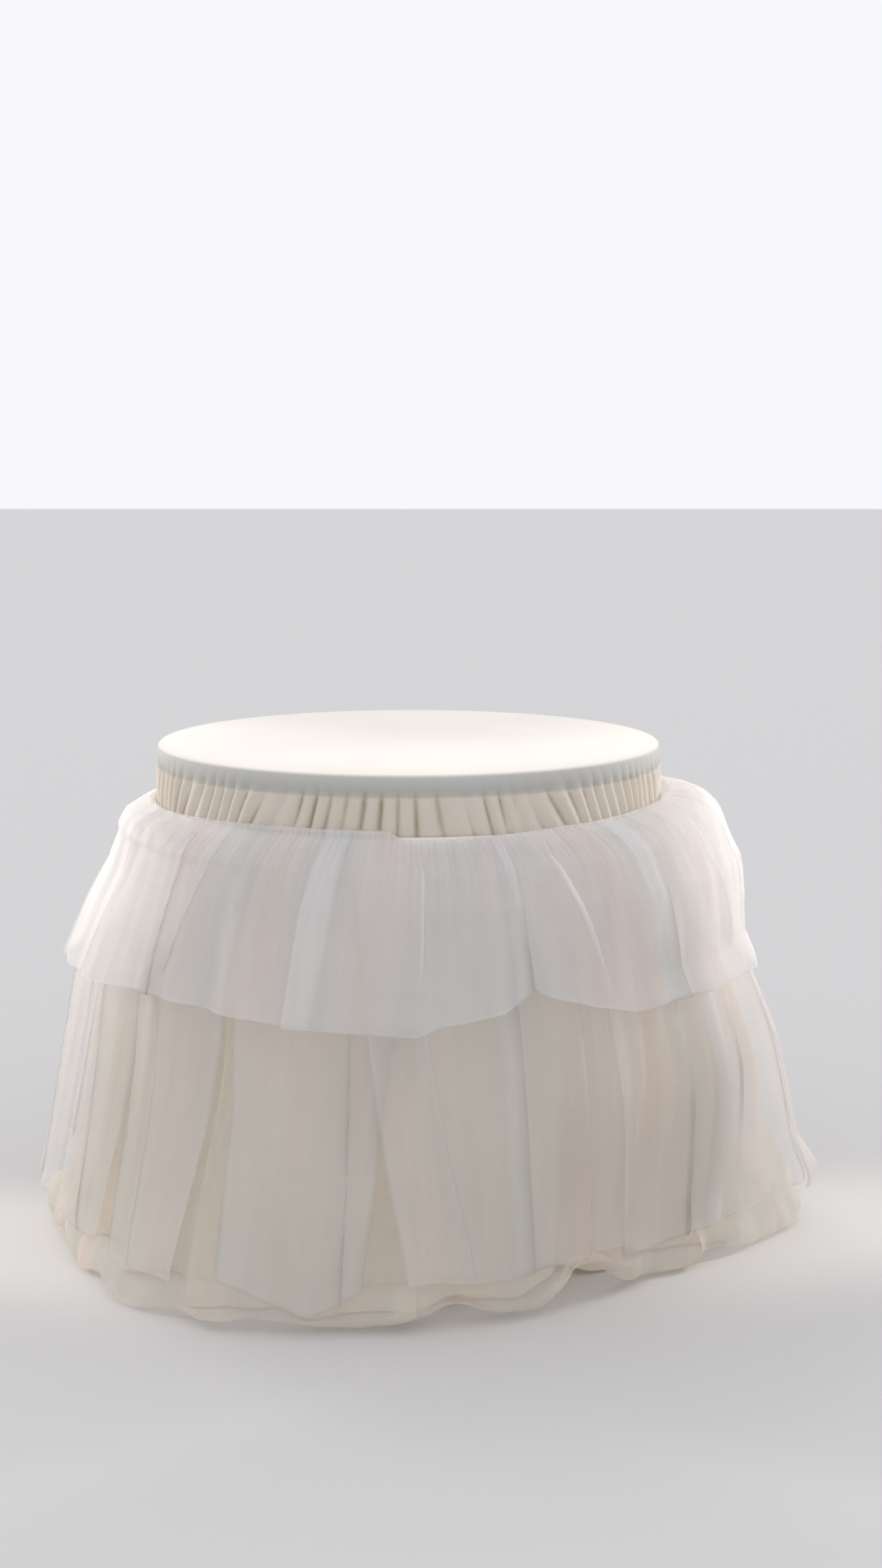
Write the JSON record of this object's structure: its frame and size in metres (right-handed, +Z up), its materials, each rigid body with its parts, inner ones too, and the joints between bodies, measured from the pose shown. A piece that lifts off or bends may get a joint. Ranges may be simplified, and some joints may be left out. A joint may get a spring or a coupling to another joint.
{
  "type": "round table with floor-length cloth and tulle skirt",
  "caption": "Round pedestal table under a floor-length cream cloth, dressed with a gathered waistband and a two-tier tulle skirt over a longer tulle layer that bunches on the floor",
  "frame": {"origin": "on the floor, under the middle of the table top", "axes": "+Z up, front towards -Y, +X to the viewer's right; metres"},
  "size_m": [1.2066, 1.2066, 0.7543],
  "materials": {
    "plywood": "clear lacquered birch plywood",
    "edge_vinyl": "black vinyl edge band",
    "coated_steel": "black powder coat",
    "cast_iron": "black paint over sand-cast iron",
    "zinc_steel": "bright zinc plating",
    "nylon": "grey moulded nylon",
    "polyester_cloth": "plain woven cream-white polyester",
    "waistband": "folded white casing, gathered",
    "elastic": "woven elastic",
    "tulle_under": "soft white tulle, bunched at the floor",
    "tulle_lower": "soft white tulle strips",
    "tulle_upper": "soft white tulle, upper tier"
  },
  "bodies": {
    "table": {"table_top": "plywood", "edge_band": "edge_vinyl", "top_plate": "coated_steel", "plate_screw_1": "zinc_steel", "plate_screw_2": "zinc_steel", "plate_screw_3": "zinc_steel", "plate_screw_4": "zinc_steel", "column": "coated_steel", "tie_rod": "zinc_steel", "tie_nut": "zinc_steel", "tie_washer": "zinc_steel", "base_cross": "cast_iron"},
    "foot_1": {"glide_1": "nylon"},
    "foot_2": {"glide_2": "nylon"},
    "foot_3": {"glide_3": "nylon"},
    "foot_4": {"glide_4": "nylon"},
    "tablecloth": {"cloth_top": "polyester_cloth", "cloth_drop_1": "polyester_cloth", "cloth_drop_2": "polyester_cloth", "cloth_drop_3": "polyester_cloth", "cloth_drop_4": "polyester_cloth", "cloth_drop_5": "polyester_cloth", "cloth_drop_6": "polyester_cloth"},
    "tulle_skirt": {"waistband_casing": "waistband", "waistband_elastic": "elastic", "under_tulle_01": "tulle_under", "under_tulle_02": "tulle_under", "under_tulle_03": "tulle_under", "under_tulle_04": "tulle_under", "under_tulle_05": "tulle_under", "under_tulle_06": "tulle_under", "lower_tulle_01": "tulle_lower", "lower_tulle_02": "tulle_lower", "lower_tulle_03": "tulle_lower", "lower_tulle_04": "tulle_lower", "lower_tulle_05": "tulle_lower", "lower_tulle_06": "tulle_lower", "lower_tulle_07": "tulle_lower", "lower_tulle_08": "tulle_lower", "lower_tulle_09": "tulle_lower", "lower_tulle_10": "tulle_lower", "lower_tulle_11": "tulle_lower", "lower_tulle_12": "tulle_lower", "lower_tulle_13": "tulle_lower", "lower_tulle_14": "tulle_lower", "lower_tulle_15": "tulle_lower", "lower_tulle_16": "tulle_lower", "upper_tulle_01": "tulle_upper", "upper_tulle_02": "tulle_upper", "upper_tulle_03": "tulle_upper", "upper_tulle_04": "tulle_upper", "upper_tulle_05": "tulle_upper", "upper_tulle_06": "tulle_upper", "upper_tulle_07": "tulle_upper", "upper_tulle_08": "tulle_upper"}
  },
  "joints": [
    {"name": "cloth_lift", "type": "slide", "parent": "table", "child": "tablecloth", "axis": [0, 0, 1], "range_m": [0, 0.8]},
    {"name": "skirt_lift", "type": "slide", "parent": "tablecloth", "child": "tulle_skirt", "axis": [0, 0, 1], "range_m": [0, 0.8]},
    {"name": "glide_turn_1", "type": "hinge", "parent": "table", "child": "foot_1", "pos_m": [0.18031, 0.18031, 0.012], "axis": [0, 0, 1], "continuous": true},
    {"name": "glide_turn_2", "type": "hinge", "parent": "table", "child": "foot_2", "pos_m": [-0.18031, 0.18031, 0.012], "axis": [0, 0, 1], "continuous": true},
    {"name": "glide_turn_3", "type": "hinge", "parent": "table", "child": "foot_3", "pos_m": [-0.18031, -0.18031, 0.012], "axis": [0, 0, 1], "continuous": true},
    {"name": "glide_turn_4", "type": "hinge", "parent": "table", "child": "foot_4", "pos_m": [0.18031, -0.18031, 0.012], "axis": [0, 0, 1], "continuous": true}
  ]
}
